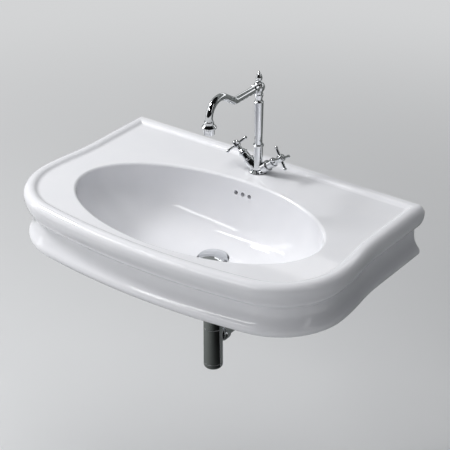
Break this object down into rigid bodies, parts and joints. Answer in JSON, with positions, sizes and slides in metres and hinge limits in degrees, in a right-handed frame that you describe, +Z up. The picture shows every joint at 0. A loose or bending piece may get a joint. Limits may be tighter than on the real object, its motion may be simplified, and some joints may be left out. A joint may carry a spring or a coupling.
{
  "type": "washbasin",
  "caption": "Wall-hung ceramic washbasin with a rolled rim and oval bowl, a column mixer with swivel spout and cross handles, a pop-up waste and a bottle trap.",
  "frame": {"origin": "on the wall plane, midway between the two wall-bolt holes", "axes": "+X along the wall to the right of someone standing at the basin, +Y into the wall, +Z up"},
  "size_m": [0.8118, 0.553, 0.6713],
  "materials": {
    "glazed_ceramic": "gloss white glaze",
    "polished_chrome": "polished",
    "bare_brass": "machined",
    "zinc_steel": "zinc plated",
    "black_rubber": "matt",
    "white_plastic": "moulded"
  },
  "bodies": {
    "basin_set": {"basin": "glazed_ceramic", "clamp_nut": "bare_brass", "clamp_rubber_washer": "black_rubber", "clamp_steel_washer": "zinc_steel", "cold_bonnet": "polished_chrome", "cold_cartridge": "bare_brass", "cold_collar": "polished_chrome", "column": "polished_chrome", "column_ring": "polished_chrome", "coupling_nut": "polished_chrome", "coupling_seal": "black_rubber", "dip_tube": "polished_chrome", "finial": "polished_chrome", "hot_bonnet": "polished_chrome", "hot_cartridge": "bare_brass", "hot_collar": "polished_chrome", "lower_swivel_seal": "black_rubber", "outlet_nut": "polished_chrome", "outlet_pipe": "polished_chrome", "outlet_seal": "black_rubber", "plug_guide": "white_plastic", "swivel_spigot": "bare_brass", "tap_body": "polished_chrome", "tap_foot_seal": "black_rubber", "tap_shank": "bare_brass", "trap_body": "polished_chrome", "trap_bottom_cap": "polished_chrome", "trap_bottom_seal": "black_rubber", "trap_top_nut": "polished_chrome", "trap_top_seal": "black_rubber", "upper_swivel_seal": "black_rubber", "wall_flange": "polished_chrome", "waste_body": "polished_chrome", "waste_low_seal": "black_rubber", "waste_nut": "bare_brass", "waste_top_seal": "black_rubber"},
    "spout": {"spout_hub": "polished_chrome", "spout_nut": "polished_chrome", "spout_tube": "polished_chrome", "outlet_ring": "polished_chrome", "aerator_housing": "polished_chrome", "aerator_insert": "white_plastic"},
    "hot_handle_set": {"hot_spindle": "bare_brass", "hot_handle": "polished_chrome", "hot_button": "polished_chrome"},
    "cold_handle_set": {"cold_spindle": "bare_brass", "cold_handle": "polished_chrome", "cold_button": "polished_chrome"},
    "plug": {"plug_cap": "polished_chrome", "plug_seal": "black_rubber", "plug_stem": "polished_chrome"}
  },
  "joints": [
    {"name": "spout_swivel", "type": "hinge", "parent": "basin_set", "child": "spout", "pos_m": [0, -0.06, 0.282], "axis": [0, 0, 1], "range_deg": [-90, 90]},
    {"name": "hot_turn", "type": "hinge", "parent": "basin_set", "child": "hot_handle_set", "pos_m": [0, -0.06, 0.0775], "axis": [-0.7771, 0, 0.6293], "range_deg": [0, 90]},
    {"name": "cold_turn", "type": "hinge", "parent": "basin_set", "child": "cold_handle_set", "pos_m": [0, -0.06, 0.0775], "axis": [0.7771, 0, 0.6293], "range_deg": [-90, 0]},
    {"name": "plug_press", "type": "slide", "parent": "basin_set", "child": "plug", "axis": [0, 0, 1], "range_m": [-0.006, 0], "stiffness_N_per_m": 800, "springref_m": 0.004}
  ]
}
